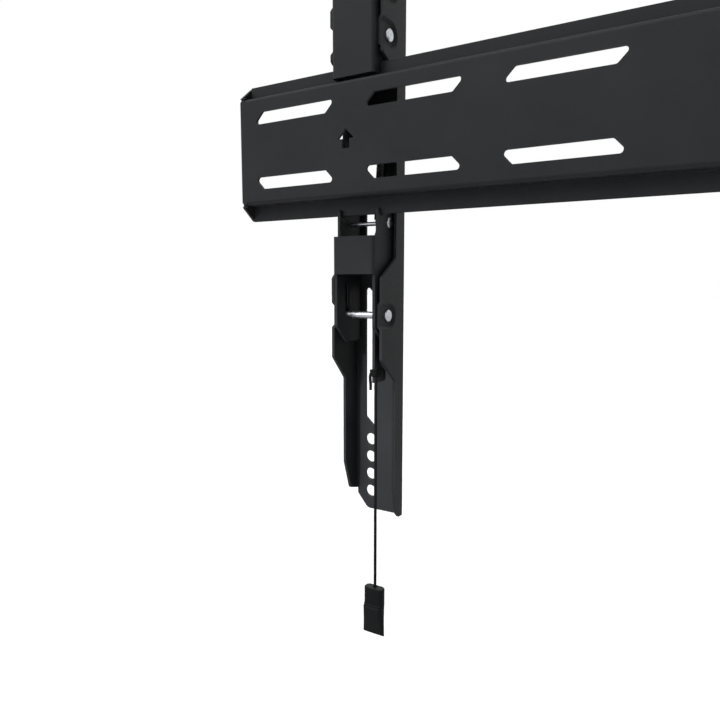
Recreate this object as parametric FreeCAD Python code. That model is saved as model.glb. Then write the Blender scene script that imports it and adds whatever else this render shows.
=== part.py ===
import FreeCAD, Part
import math
import os

from FreeCAD import Vector

# Fixed wall mount for a flat screen: one folded wall plate and two hanging brackets.
# Millimetres, +Z up. The wall is the plane Y = 0 and the screen is on the -Y side.
# A depth is a distance out from the wall, so depth d lies at Y = -d.
# The origin is the centre of the wall plate's wall side face.

# Sheet steel
SHEET = 2.0
BEND_INNER = 0.5
EDGE_BREAK = 0.4
CUT_MARGIN = 1.0

# Wall plate
PLATE_LENGTH = 654.0
PLATE_WEB_HEIGHT = 73.4
PLATE_OVERALL_HEIGHT = 95.4
PLATE_DEPTH = 13.5
PLATE_CORNER_CUT = 2.6
PLATE_CORNER_START = 0.9
PLATE_SEAM = 0.3

# Slanted screw slots of the wall plate
WALL_SLOT_HEIGHT = 8.4
WALL_SLOT_LENGTH = 69.4
WALL_SLOT_SLANT = 8.1
WALL_SLOT_CORNER = 2.1
WALL_SLOT_PITCH = 90.1
WALL_SLOT_END_MARGIN = 13.4
WALL_SLOTS_PER_ROW_HALF = 3
WALL_SLOT_ROW_Z = 22.3

# Arrow cut-out that shows which way is up
ARROW_SPACING = 472.6
ARROW_HEAD_WIDTH = 12.6
ARROW_HEAD_HEIGHT = 6.4
ARROW_HEIGHT = 12.4
ARROW_STEM_WIDTH = 5.6
ARROW_TOP_Z = 6.6

# Bracket channel
BRACKET_SPACING = 464.6
CHANNEL_WIDTH = 40.0
MOUNT_DEPTH = 39.6
CHANNEL_TOP_Z = 205.0
CHANNEL_BOTTOM_Z = -261.0
WEB_CORNER_RUN = 10.9
WEB_CORNER_RISE = 13.5
WEB_CORNER_ROUND = 5.0
FLANGE_WIDE_DEPTH = 6.8
FLANGE_NARROW_DEPTH_INBOARD = 26.0
FLANGE_NARROW_DEPTH_OUTBOARD = 21.3
FLANGE_NARROW_REACH = 100.6
INBOARD_TAPER_REACH = 21.0
INBOARD_END_DEPTH = 29.4
INBOARD_CORNER_RISE = 3.2
INBOARD_CORNER_RUN = 3.4
OUTBOARD_TAPER_REACH = 38.0
OUTBOARD_END_DEPTH = 28.4
OUTBOARD_END_RISE = 16.8
FLANGE_SHOULDER = 16.1
RAIL_GAP_BELOW = 41.8
RAIL_GAP_BELOW_SLOPE = 13.5
RAIL_GAP_ABOVE = 4.2
RAIL_GAP_ABOVE_SLOPE = 8.7
FLANGE_CORNER = 2.0

# Screw slots and holes in the channel's web
WEB_HOLE_DIAMETER = 8.7
WEB_HOLE_PITCH = 13.2
WEB_HOLE_COUNT = 4
WEB_HOLE_END_MARGIN = 13.6
WEB_SLOT_OFFSET = 6.4
WEB_SLOT_WIDTH = 8.8
WEB_SLOT_SLANT = 8.5
WEB_LONG_SLOT_LENGTH = 106.0
WEB_SLOT_BRIDGE = 20.5
WEB_HOLE_TO_SLOT = 8.4

# Pieces nested in the channel
NESTED_WIDTH = 31.8
NESTED_NEAR_DEPTH = 2.0
NESTED_FAR_DEPTH = 34.0
NEST_CLEARANCE = 0.15
LIP_CLEARANCE = 0.5
REST_GAP = 0.1

# Hook plate
HOOK_REACH = 8.4
HOOK_TOP_Z = 106.0
HOOK_FAR_RISE = 3.0

# Latch plate
LATCH_TIP_OVERLAP = 3.9
LATCH_TIP_DEPTH = 8.5
LATCH_LIP_GAP = 0.9
LATCH_FACE_TOP_Z = -62.0
LATCH_FACE_HEIGHT = 25.0
LATCH_CHEEK_NEAR_DEPTH = 4.3
LATCH_BOTTOM_Z = -134.0
LATCH_BOTTOM_CUT = 12.0
LATCH_TRAVEL = 20.0

# Pins
MAIN_PIN_DIAMETER = 5.0
MAIN_PIN_HEAD = 8.4
MAIN_PIN_HEAD_HEIGHT = 1.9
MAIN_PIN_DEPTH = 17.4
LATCH_PIN_Z = -114.7
HOOK_PIN_LOWER_Z = 64.7
HOOK_PIN_UPPER_Z = 92.0
SPRING_PIN_DIAMETER = 3.0
SPRING_PIN_HEAD = 7.5
SPRING_PIN_HEAD_HEIGHT = 1.0
SPRING_PIN_LOWER_Z = -52.6
SPRING_PIN_LOWER_DEPTH = 24.0
SPRING_PIN_UPPER_Z = 8.0
SPRING_PIN_UPPER_DEPTH = 31.3
PIN_CLEARANCE = 0.1
PIN_FLAT_SHARE = 0.55
PIN_RIM_SHARE = 0.45

# Dimples pressed inward round the main pins
DIMPLE_RADIUS = 8.5

# Return spring
SPRING_OUTER_DIAMETER = 8.0
SPRING_WIRE = 1.1
SPRING_LOOP_RADIUS = 3.4
SPRING_OFFSET = -6.8

# Release arm
ARM_NEAR_DEPTH = 7.8
ARM_SLOT_FAR_DEPTH = 23.5
ARM_NECK_DEPTH = 15.7
ARM_FOOT_DEPTH = 23.0
ARM_FOOT_TOP_Z = -153.4
ARM_NECK_BOTTOM_Z = -147.5
ARM_BOTTOM_Z = -160.0
ARM_TOP_Z = -66.0
ARM_LOBE = 5.5
ARM_SLOT_MARGIN = 6.0
ARM_HOLE_DEPTH = 13.7
ARM_HOLE_WIDTH = 3.2
ARM_HOLE_TOP_Z = -150.4
ARM_HOLE_BOTTOM_Z = -156.6

# Pull cord, its knot on the arm, and the pull tab
CORD_DIAMETER = 1.4
CORD_GAP = 0.1
CORD_TURNS = 3
CORD_TURN_PITCH = 1.25
CORD_TAIL_LENGTH = 4.0
CORD_END_BEAD = 2.0
CORD_BOTTOM_Z = -305.8
TAB_WIDTH = 17.0
TAB_TOP_Z = -304.4
TAB_HEIGHT = 35.2
TAB_THICKNESS = 6.0
TAB_EDGE_ROUND = 2.0
TAB_SHOULDER_ROUND = 4.5
TAB_PAD_HEIGHT = 18.0
TAB_PAD_RISE = 1.8
TAB_PAD_INSET = 0.8
TAB_COLLAR_HEIGHT = 2.4
TAB_COLLAR_DIAMETER = 4.2
TAB_COLLAR_WALL = 0.5

# Worked out from the sizes above
bend_outer = BEND_INNER + SHEET
web_half = PLATE_WEB_HEIGHT / 2
lip_end = PLATE_OVERALL_HEIGHT / 2
lip_wall_side = PLATE_DEPTH - SHEET
bracket_x = BRACKET_SPACING / 2
channel_half = CHANNEL_WIDTH / 2
channel_inner = channel_half - SHEET
channel_web_depth = MOUNT_DEPTH - SHEET
nested_half = NESTED_WIDTH / 2
nested_inner = nested_half - SHEET
dimple_depth = channel_inner - nested_half - NEST_CLEARANCE
dimple_face = channel_half - dimple_depth
rail_gap_top = lip_end + RAIL_GAP_ABOVE
rail_gap_bottom = -lip_end - RAIL_GAP_BELOW
slot_width = MAIN_PIN_DIAMETER + 2 * PIN_CLEARANCE
arm_outer = nested_inner
arm_inner = arm_outer - SHEET
cord_radius = CORD_DIAMETER / 2
cord_x = -(arm_outer + CORD_GAP + cord_radius)


def at_side(x):
    """Place an outline given as (depth, height) in the upright plane at x."""
    return lambda depth, z: Vector(x, -depth, z)


def at_front(depth):
    """Place an outline given as (x, height) in the plane at a depth from the wall."""
    return lambda x, z: Vector(x, -depth, z)


def at_level(z):
    """Place an outline given as (x, depth) in the level plane at a height."""
    return lambda x, depth: Vector(x, -depth, z)


def rounded_face(corners, place):
    """Flat face inside corners (a, b, radius), each corner rounded by its own radius."""
    count = len(corners)
    turns = []
    for index, (a, b, radius) in enumerate(corners):
        here = Vector(a, b, 0)
        back = Vector(*corners[index - 1][:2], 0) - here
        ahead = Vector(*corners[(index + 1) % count][:2], 0) - here
        back.normalize()
        ahead.normalize()
        if radius <= 0:
            turns.append((here, here, here))
            continue
        half_angle = back.getAngle(ahead) / 2
        tangent = radius / math.tan(half_angle)
        middle = back + ahead
        middle.normalize()
        reach = radius / math.sin(half_angle) - radius
        turns.append((here + back * tangent, here + middle * reach, here + ahead * tangent))
    edges = []
    for index, (start, middle, end) in enumerate(turns):
        last_end = turns[index - 1][2]
        if (start - last_end).Length > 1e-6:
            edges.append(Part.LineSegment(place(last_end.x, last_end.y), place(start.x, start.y)).toShape())
        if (end - start).Length > 1e-6:
            points = [place(p.x, p.y) for p in (start, middle, end)]
            edges.append(Part.Arc(*points).toShape())
    return Part.Face(Part.Wire(Part.__sortEdges__(edges)))


def prism(corners, place, direction):
    """Straight prism on a rounded outline."""
    return rounded_face(corners, place).extrude(direction)


def side_prism(corners, x_low, x_high):
    """Prism across the mount, on an outline given as (depth, height, radius)."""
    return prism(corners, at_side(x_low), Vector(x_high - x_low, 0, 0))


def front_prism(corners, depth_low, depth_high):
    """Prism out from the wall, on an outline given as (x, height, radius)."""
    return prism(corners, at_front(depth_low), Vector(0, depth_low - depth_high, 0))


def cross_cylinder(radius, x_low, x_high, depth, z):
    """Cylinder lying across the mount."""
    return Part.makeCylinder(radius, x_high - x_low, Vector(x_low, -depth, z), Vector(1, 0, 0))


def folded_channel(width, depth_open, depth_web, z_low, z_high, web_at_far_side=True):
    """U section of folded sheet, standing upright, open toward one side."""
    step = SHEET if web_at_far_side else -SHEET
    half = width / 2
    corners = [
        (-half, depth_open, 0),
        (-half, depth_web, bend_outer),
        (half, depth_web, bend_outer),
        (half, depth_open, 0),
        (half - SHEET, depth_open, 0),
        (half - SHEET, depth_web - step, BEND_INNER),
        (-half + SHEET, depth_web - step, BEND_INNER),
        (-half + SHEET, depth_open, 0),
    ]
    return prism(corners, at_level(z_low), Vector(0, 0, z_high - z_low))


def upright_slot(depth, z_low, z_high, width, x_low, x_high):
    """Slot with round ends, cut across cheeks; z_low and z_high are its ends."""
    radius = width / 2
    round_end = radius - 0.001
    corners = [
        (depth - radius, z_low, round_end),
        (depth + radius, z_low, round_end),
        (depth + radius, z_high, round_end),
        (depth - radius, z_high, round_end),
    ]
    return side_prism(corners, x_low, x_high)


def wall_slot(x_end, direction, row):
    """Parallelogram slot of the wall plate, starting at x_end and running in direction.

    The edge nearer the plate's long edge is shifted toward the middle of the plate.
    """
    z_inner = row * (WALL_SLOT_ROW_Z - WALL_SLOT_HEIGHT / 2)
    z_outer = row * (WALL_SLOT_ROW_Z + WALL_SLOT_HEIGHT / 2)
    run = WALL_SLOT_LENGTH - WALL_SLOT_SLANT
    shift = direction * WALL_SLOT_SLANT
    corners = [
        (x_end, z_inner, WALL_SLOT_CORNER),
        (x_end + direction * run, z_inner, WALL_SLOT_CORNER),
        (x_end + direction * run + shift, z_outer, WALL_SLOT_CORNER),
        (x_end + shift, z_outer, WALL_SLOT_CORNER),
    ]
    return front_prism(corners, -CUT_MARGIN, SHEET + CUT_MARGIN)


def arrow_cut(x_centre):
    """Arrow that points up, cut through the wall plate."""
    shoulder_z = ARROW_TOP_Z - ARROW_HEAD_HEIGHT
    stem_half = ARROW_STEM_WIDTH / 2
    head_half = ARROW_HEAD_WIDTH / 2
    bottom_z = ARROW_TOP_Z - ARROW_HEIGHT
    corners = [
        (x_centre - stem_half, bottom_z, EDGE_BREAK),
        (x_centre + stem_half, bottom_z, EDGE_BREAK),
        (x_centre + stem_half, shoulder_z, 0),
        (x_centre + head_half, shoulder_z, EDGE_BREAK / 2),
        (x_centre, ARROW_TOP_Z, EDGE_BREAK / 2),
        (x_centre - head_half, shoulder_z, EDGE_BREAK / 2),
        (x_centre - stem_half, shoulder_z, 0),
    ]
    return front_prism(corners, -CUT_MARGIN, SHEET + CUT_MARGIN)


def make_wall_plate():
    """Rail of one folded sheet: web on the wall, lips held off it, ends folded back."""
    inner_half = web_half - SHEET
    section = [
        (0, web_half, bend_outer),
        (lip_wall_side, web_half, BEND_INNER),
        (lip_wall_side, lip_end, EDGE_BREAK),
        (PLATE_DEPTH, lip_end, EDGE_BREAK),
        (PLATE_DEPTH, inner_half, bend_outer),
        (SHEET, inner_half, BEND_INNER),
        (SHEET, -inner_half, BEND_INNER),
        (PLATE_DEPTH, -inner_half, bend_outer),
        (PLATE_DEPTH, -lip_end, EDGE_BREAK),
        (lip_wall_side, -lip_end, EDGE_BREAK),
        (lip_wall_side, -web_half, BEND_INNER),
        (0, -web_half, bend_outer),
    ]
    half_length = PLATE_LENGTH / 2
    rail_half = half_length - SHEET - PLATE_SEAM
    plate = side_prism(section, -rail_half, rail_half)

    ends = folded_channel(PLATE_LENGTH, PLATE_DEPTH, 0, -lip_end, lip_end, web_at_far_side=False)
    end_outline = [
        (0, -web_half, 0),
        (PLATE_DEPTH, -lip_end, EDGE_BREAK),
        (PLATE_DEPTH, lip_end, EDGE_BREAK),
        (0, web_half, 0),
    ]
    ends = ends.common(side_prism(end_outline, -half_length, half_length))
    middle = half_length - bend_outer - PLATE_CORNER_CUT
    ends = ends.cut(Part.makeBox(2 * middle, PLATE_DEPTH * 2, PLATE_OVERALL_HEIGHT * 2,
                                 Vector(-middle, -PLATE_DEPTH * 1.5, -PLATE_OVERALL_HEIGHT)))
    plate = plate.fuse(ends)

    for side in (-1, 1):
        for row in (-1, 1):
            corner_x = side * half_length
            corner_z = row * web_half
            cut = [
                (corner_x + side, corner_z + row, 0),
                (corner_x - side * (PLATE_CORNER_CUT + bend_outer), corner_z + row, 0),
                (corner_x - side * (PLATE_CORNER_CUT + bend_outer), corner_z, 0),
                (corner_x - side * bend_outer, corner_z - row * PLATE_CORNER_START, 0),
                (corner_x + side, corner_z - row * PLATE_CORNER_CUT, 0),
            ]
            plate = plate.cut(front_prism(cut, -CUT_MARGIN, SHEET + BEND_INNER + PLATE_SEAM))
            for index in range(WALL_SLOTS_PER_ROW_HALF):
                inset = WALL_SLOT_END_MARGIN + index * WALL_SLOT_PITCH
                plate = plate.cut(wall_slot(corner_x - side * inset, -side, row))
        plate = plate.cut(arrow_cut(side * ARROW_SPACING / 2))
    return plate.removeSplitter()


def flange_outline(narrow_depth, end_steps):
    """Side outline of one flange, (depth, height, radius), up the screen side and back down.

    end_steps are (depth, distance from the channel's end, radius), from the narrow part outward.
    """
    low = CHANNEL_BOTTOM_Z
    high = CHANNEL_TOP_Z
    upper_wide_in = HOOK_TOP_Z + FLANGE_CORNER
    narrow_out = low + FLANGE_NARROW_REACH
    wide = FLANGE_WIDE_DEPTH
    corner = FLANGE_CORNER
    upper_end = [(depth, high - rise, radius) for depth, rise, radius in reversed(end_steps)]
    lower_end = [(depth, low + rise, radius) for depth, rise, radius in end_steps]
    return upper_end + [
        (narrow_depth, upper_wide_in + FLANGE_SHOULDER, corner),
        (wide, upper_wide_in, corner),
        (wide, rail_gap_top, corner),
        (narrow_depth, rail_gap_top - RAIL_GAP_ABOVE_SLOPE, corner),
        (narrow_depth, rail_gap_bottom + RAIL_GAP_BELOW_SLOPE, corner),
        (wide, rail_gap_bottom, corner),
        (wide, narrow_out + FLANGE_SHOULDER, corner),
        (narrow_depth, narrow_out, corner),
    ] + lower_end


def inboard_outline():
    """Outline of the flange nearer the middle of the mount."""
    end_steps = [
        (FLANGE_NARROW_DEPTH_INBOARD, INBOARD_TAPER_REACH, FLANGE_CORNER),
        (INBOARD_END_DEPTH, INBOARD_CORNER_RISE, EDGE_BREAK),
        (INBOARD_END_DEPTH + INBOARD_CORNER_RUN, 0, 0),
        (MOUNT_DEPTH + CUT_MARGIN, 0, 0),
    ]
    return flange_outline(FLANGE_NARROW_DEPTH_INBOARD, end_steps)


def outboard_outline():
    """Outline of the flange nearer the end of the mount; it stops at the web's cut corner."""
    end_steps = [
        (FLANGE_NARROW_DEPTH_OUTBOARD, OUTBOARD_TAPER_REACH, FLANGE_CORNER),
        (OUTBOARD_END_DEPTH, OUTBOARD_END_RISE, FLANGE_CORNER),
        (MOUNT_DEPTH + CUT_MARGIN, WEB_CORNER_RISE, 0),
    ]
    return flange_outline(FLANGE_NARROW_DEPTH_OUTBOARD, end_steps)


def web_outline():
    """Front outline of the channel, (x, height, radius): its two outboard corners are cut off."""
    beyond = channel_half + CUT_MARGIN
    run_in = channel_half - WEB_CORNER_RUN
    rise_beyond = WEB_CORNER_RISE * (beyond - run_in) / WEB_CORNER_RUN
    low = CHANNEL_BOTTOM_Z
    high = CHANNEL_TOP_Z
    return [
        (-beyond, low, 0),
        (run_in, low, WEB_CORNER_ROUND),
        (beyond, low + rise_beyond, 0),
        (beyond, high - rise_beyond, 0),
        (run_in, high, WEB_CORNER_ROUND),
        (-beyond, high, 0),
    ]


def dimple_outline(radius, depth, z, x):
    """U outline round a pin, open toward the flange's near edge."""
    open_depth = FLANGE_WIDE_DEPTH - CUT_MARGIN
    place = at_side(x)
    straight_up = Part.LineSegment(place(open_depth, z + radius), place(depth, z + radius)).toShape()
    bow = Part.Arc(place(depth, z + radius), place(depth + radius, z), place(depth, z - radius)).toShape()
    straight_down = Part.LineSegment(place(depth, z - radius), place(open_depth, z - radius)).toShape()
    closing = Part.LineSegment(place(open_depth, z - radius), place(open_depth, z + radius)).toShape()
    return Part.Wire([straight_up, bow, straight_down, closing])


def dimple_tool(radius_open, x_open, x_floor, z):
    """Tapered solid of a dimple, its wall at 45 degrees."""
    radius_floor = radius_open - abs(x_open - x_floor)
    outer = dimple_outline(radius_open, MAIN_PIN_DEPTH, z, x_open)
    floor = dimple_outline(radius_floor, MAIN_PIN_DEPTH, z, x_floor)
    return Part.makeLoft([outer, floor], True, True)


def press_dimple(channel, side, z):
    """Press the sheet of one flange inward round a pin and drill the pin's hole."""
    wall_growth = SHEET * math.tan(math.radians(22.5))
    inner_open = side * channel_inner
    inner_floor = side * (channel_inner - dimple_depth)
    boss = dimple_tool(DIMPLE_RADIUS + wall_growth, inner_open, inner_floor, z)
    reach = 2 * DIMPLE_RADIUS
    near_side = Part.makeBox(2 * CHANNEL_WIDTH, FLANGE_WIDE_DEPTH, 2 * reach,
                             Vector(-CHANNEL_WIDTH, -FLANGE_WIDE_DEPTH, z - reach))
    boss = boss.cut(near_side)
    pocket = dimple_tool(DIMPLE_RADIUS, side * channel_half, side * dimple_face, z)
    pocket = pocket.fuse(dimple_pocket_mouth(side, z))
    channel = channel.fuse(boss).cut(pocket)
    x_low = min(side * channel_half, side * nested_half)
    x_high = max(side * channel_half, side * nested_half)
    hole = cross_cylinder(MAIN_PIN_DIAMETER / 2 + PIN_CLEARANCE, x_low, x_high, MAIN_PIN_DEPTH, z)
    return channel.cut(hole)


def dimple_pocket_mouth(side, z):
    """Thin slice just outside the flange, so that the pocket opens cleanly."""
    face = Part.Face(dimple_outline(DIMPLE_RADIUS, MAIN_PIN_DEPTH, z, side * channel_half))
    return face.extrude(Vector(side * CUT_MARGIN, 0, 0))


def web_slot(z_low, z_high):
    """Long slot in the channel's web; both ends slope down toward the middle of the mount."""
    x_in = WEB_SLOT_OFFSET - WEB_SLOT_WIDTH / 2
    x_out = WEB_SLOT_OFFSET + WEB_SLOT_WIDTH / 2
    corners = [
        (x_in, z_low, WALL_SLOT_CORNER),
        (x_out, z_low + WEB_SLOT_SLANT, WALL_SLOT_CORNER),
        (x_out, z_high, WALL_SLOT_CORNER),
        (x_in, z_high - WEB_SLOT_SLANT, WALL_SLOT_CORNER),
    ]
    return front_prism(corners, channel_web_depth - CUT_MARGIN, MOUNT_DEPTH + CUT_MARGIN)


def web_cuts():
    """Holes and slots that take the screws of the screen, laid out from both ends."""
    cuts = []
    hole_span = WEB_HOLE_END_MARGIN + (WEB_HOLE_COUNT - 1) * WEB_HOLE_PITCH
    slot_span = hole_span + WEB_HOLE_TO_SLOT
    for end_z, direction in ((CHANNEL_BOTTOM_Z, 1), (CHANNEL_TOP_Z, -1)):
        for index in range(WEB_HOLE_COUNT):
            z = end_z + direction * (WEB_HOLE_END_MARGIN + index * WEB_HOLE_PITCH)
            cuts.append(Part.makeCylinder(WEB_HOLE_DIAMETER / 2, SHEET + 2 * CUT_MARGIN,
                                          Vector(WEB_SLOT_OFFSET, -channel_web_depth + CUT_MARGIN, z),
                                          Vector(0, -1, 0)))
        slot_near = end_z + direction * slot_span
        slot_far = slot_near + direction * WEB_LONG_SLOT_LENGTH
        cuts.append(web_slot(min(slot_near, slot_far), max(slot_near, slot_far)))
    middle_inset = slot_span + WEB_LONG_SLOT_LENGTH + WEB_SLOT_BRIDGE
    cuts.append(web_slot(CHANNEL_BOTTOM_Z + middle_inset, CHANNEL_TOP_Z - middle_inset))
    return cuts


def make_bracket():
    """Upright channel that is screwed to the back of the screen."""
    channel = folded_channel(CHANNEL_WIDTH, FLANGE_WIDE_DEPTH, MOUNT_DEPTH,
                             CHANNEL_BOTTOM_Z, CHANNEL_TOP_Z)
    bend_line = channel_inner - BEND_INNER
    inboard = side_prism(inboard_outline(), -channel_half, bend_line)
    outboard = side_prism(outboard_outline(), bend_line, channel_half)
    channel = channel.common(inboard.fuse(outboard))
    channel = channel.common(front_prism(web_outline(), 0, MOUNT_DEPTH + CUT_MARGIN))
    for tool in web_cuts():
        channel = channel.cut(tool)
    for side in (-1, 1):
        for z in (LATCH_PIN_Z, HOOK_PIN_LOWER_Z, HOOK_PIN_UPPER_Z):
            channel = press_dimple(channel, side, z)
    upper_hole = cross_cylinder(SPRING_PIN_DIAMETER / 2 + PIN_CLEARANCE, -channel_half, channel_half,
                                SPRING_PIN_UPPER_DEPTH, SPRING_PIN_UPPER_Z)
    return channel.cut(upper_hole).removeSplitter()


def make_hook_plate():
    """Folded piece, pinned in the channel, that hangs over the rail's upper lip."""
    tongue_bottom = lip_end - HOOK_REACH
    lip_near = lip_wall_side - LIP_CLEARANCE
    lip_far = PLATE_DEPTH + LIP_CLEARANCE
    seat = lip_end + REST_GAP
    plate = folded_channel(NESTED_WIDTH, NESTED_FAR_DEPTH, NESTED_NEAR_DEPTH,
                           tongue_bottom, HOOK_TOP_Z, web_at_far_side=False)
    outline = [
        (NESTED_NEAR_DEPTH - CUT_MARGIN, tongue_bottom, 0),
        (lip_near, tongue_bottom, EDGE_BREAK),
        (lip_near, seat, EDGE_BREAK),
        (lip_far, seat, EDGE_BREAK),
        (lip_far, tongue_bottom + HOOK_FAR_RISE, EDGE_BREAK),
        (NESTED_FAR_DEPTH, tongue_bottom + HOOK_FAR_RISE, FLANGE_CORNER),
        (NESTED_FAR_DEPTH, HOOK_TOP_Z, FLANGE_CORNER),
        (NESTED_NEAR_DEPTH - CUT_MARGIN, HOOK_TOP_Z, 0),
    ]
    plate = plate.common(side_prism(outline, -nested_half, nested_half))
    for z in (HOOK_PIN_LOWER_Z, HOOK_PIN_UPPER_Z):
        plate = plate.cut(cross_cylinder(MAIN_PIN_DIAMETER / 2 + PIN_CLEARANCE,
                                         -nested_half, nested_half, MAIN_PIN_DEPTH, z))
    return plate.removeSplitter()


def pin_slot(x_low, x_high):
    """Slot that lets the latch slide down past the fixed latch pin."""
    z_low = LATCH_PIN_Z - slot_width / 2
    z_high = LATCH_PIN_Z + LATCH_TRAVEL + slot_width / 2
    return upright_slot(MAIN_PIN_DEPTH, z_low, z_high, slot_width, x_low, x_high)


def make_latch_plate():
    """Folded piece that slides in the channel and hooks behind the rail's lower lip."""
    tip_z = -lip_end + LATCH_TIP_OVERLAP
    tip_far = lip_wall_side - LIP_CLEARANCE
    notch_far = PLATE_DEPTH + LIP_CLEARANCE
    notch_z = -lip_end - LATCH_LIP_GAP
    face_bottom = LATCH_FACE_TOP_Z - LATCH_FACE_HEIGHT
    plate = folded_channel(NESTED_WIDTH, NESTED_FAR_DEPTH, NESTED_NEAR_DEPTH,
                           LATCH_BOTTOM_Z, tip_z, web_at_far_side=False)
    tip_round = (tip_far - LATCH_TIP_DEPTH) / 2 - 0.01
    outline = [
        (NESTED_NEAR_DEPTH - CUT_MARGIN, LATCH_FACE_TOP_Z, 0),
        (LATCH_TIP_DEPTH, LATCH_FACE_TOP_Z, EDGE_BREAK),
        (LATCH_TIP_DEPTH, tip_z, tip_round),
        (tip_far, tip_z, tip_round),
        (tip_far, notch_z, EDGE_BREAK),
        (notch_far, notch_z, EDGE_BREAK),
        (notch_far, tip_z, FLANGE_CORNER),
        (NESTED_FAR_DEPTH, tip_z, FLANGE_CORNER),
        (NESTED_FAR_DEPTH, LATCH_BOTTOM_Z, FLANGE_CORNER),
        (LATCH_CHEEK_NEAR_DEPTH + LATCH_BOTTOM_CUT, LATCH_BOTTOM_Z, FLANGE_CORNER),
        (LATCH_CHEEK_NEAR_DEPTH, LATCH_BOTTOM_Z + LATCH_BOTTOM_CUT, EDGE_BREAK),
        (LATCH_CHEEK_NEAR_DEPTH, face_bottom, EDGE_BREAK),
        (NESTED_NEAR_DEPTH - CUT_MARGIN, face_bottom, 0),
    ]
    plate = plate.common(side_prism(outline, -nested_half, nested_half))
    plate = plate.cut(pin_slot(-nested_half, nested_half))
    plate = plate.cut(cross_cylinder(SPRING_PIN_DIAMETER / 2 + PIN_CLEARANCE, -nested_half, nested_half,
                                     SPRING_PIN_LOWER_DEPTH, SPRING_PIN_LOWER_Z))
    return plate.removeSplitter()


def make_release_arm():
    """Flat arm on the inboard cheek of the latch; the cord is tied to its foot."""
    lobe = ARM_LOBE
    lobe_round = lobe - EDGE_BREAK
    slot_foot_z = LATCH_PIN_Z - slot_width / 2 - ARM_SLOT_MARGIN
    outline = [
        (ARM_NEAR_DEPTH, ARM_TOP_Z, FLANGE_CORNER),
        (SPRING_PIN_LOWER_DEPTH - lobe, SPRING_PIN_LOWER_Z + lobe, lobe_round),
        (SPRING_PIN_LOWER_DEPTH + lobe, SPRING_PIN_LOWER_Z + lobe, lobe_round),
        (SPRING_PIN_LOWER_DEPTH + lobe, SPRING_PIN_LOWER_Z - lobe, lobe_round),
        (ARM_SLOT_FAR_DEPTH, SPRING_PIN_LOWER_Z - 2 * lobe, FLANGE_CORNER),
        (ARM_SLOT_FAR_DEPTH, slot_foot_z, FLANGE_CORNER),
        (ARM_NECK_DEPTH, slot_foot_z - ARM_SLOT_MARGIN, FLANGE_CORNER),
        (ARM_NECK_DEPTH, ARM_NECK_BOTTOM_Z, FLANGE_CORNER),
        (ARM_FOOT_DEPTH, ARM_FOOT_TOP_Z, FLANGE_CORNER),
        (ARM_FOOT_DEPTH, ARM_BOTTOM_Z, FLANGE_CORNER),
        (ARM_NEAR_DEPTH, ARM_BOTTOM_Z, EDGE_BREAK),
    ]
    arm = side_prism(outline, -arm_outer, -arm_inner)
    arm = arm.cut(pin_slot(-arm_outer, -arm_inner))
    arm = arm.cut(cross_cylinder(SPRING_PIN_DIAMETER / 2 + PIN_CLEARANCE, -arm_outer, -arm_inner,
                                 SPRING_PIN_LOWER_DEPTH, SPRING_PIN_LOWER_Z))
    return arm.cut(upright_slot(ARM_HOLE_DEPTH, ARM_HOLE_BOTTOM_Z, ARM_HOLE_TOP_Z, ARM_HOLE_WIDTH,
                                -arm_outer, -arm_inner))


def headed_pin(shaft_diameter, half_grip, head_diameter, head_height, depth, z):
    """Riveted pin, turned about its own axis: a head with a bevelled top at each end."""
    shaft = shaft_diameter / 2
    head = head_diameter / 2
    flat = head * PIN_FLAT_SHARE
    rim = head_height * PIN_RIM_SHARE
    tip = half_grip + head_height
    profile = [
        (-tip, 0),
        (-tip, flat),
        (-half_grip - rim, head),
        (-half_grip, head),
        (-half_grip, shaft),
        (half_grip, shaft),
        (half_grip, head),
        (half_grip + rim, head),
        (tip, flat),
        (tip, 0),
    ]
    points = [Vector(x, -depth + radius, z) for x, radius in profile]
    half_section = Part.Face(Part.makePolygon(points + points[:1]))
    return half_section.revolve(Vector(0, -depth, z), Vector(1, 0, 0), 360)


def main_pin(z):
    """Main pin, its heads seated in the dimples of both flanges."""
    return headed_pin(MAIN_PIN_DIAMETER, dimple_face, MAIN_PIN_HEAD, MAIN_PIN_HEAD_HEIGHT,
                      MAIN_PIN_DEPTH, z)


def make_return_spring():
    """Closed coil that pulls the latch up, with a loop over the pin at each end."""
    low = Vector(SPRING_OFFSET, -SPRING_PIN_LOWER_DEPTH, SPRING_PIN_LOWER_Z)
    high = Vector(SPRING_OFFSET, -SPRING_PIN_UPPER_DEPTH, SPRING_PIN_UPPER_Z)
    along = high - low
    span = along.Length
    along.normalize()
    wire_radius = SPRING_WIRE / 2
    hook_height = SPRING_LOOP_RADIUS + SPRING_PIN_DIAMETER / 2 + 2 * wire_radius
    body_length = span - 2 * hook_height
    body = Part.makeCylinder(SPRING_OUTER_DIAMETER / 2, body_length, low + along * hook_height, along)
    sideways = Vector(1, 0, 0).cross(along)
    for pin, direction in ((low, 1), (high, -1)):
        seat_radius = SPRING_PIN_DIAMETER / 2 + PIN_CLEARANCE + wire_radius
        stem_top = pin + along * direction * (hook_height + wire_radius)
        loop_start = pin + sideways * seat_radius
        loop_middle = pin - along * direction * seat_radius
        loop_end = pin - sideways * seat_radius
        rise = Part.LineSegment(stem_top + sideways * seat_radius, loop_start).toShape()
        bow = Part.Arc(loop_start, loop_middle, loop_end).toShape()
        lip = Part.LineSegment(loop_end, loop_end + along * direction * seat_radius).toShape()
        path = Part.Wire([rise, bow, lip])
        section = Part.Wire(Part.makeCircle(wire_radius, stem_top + sideways * seat_radius, along))
        body = body.fuse(path.makePipeShell([section], True, True))
    return body.removeSplitter()


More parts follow.
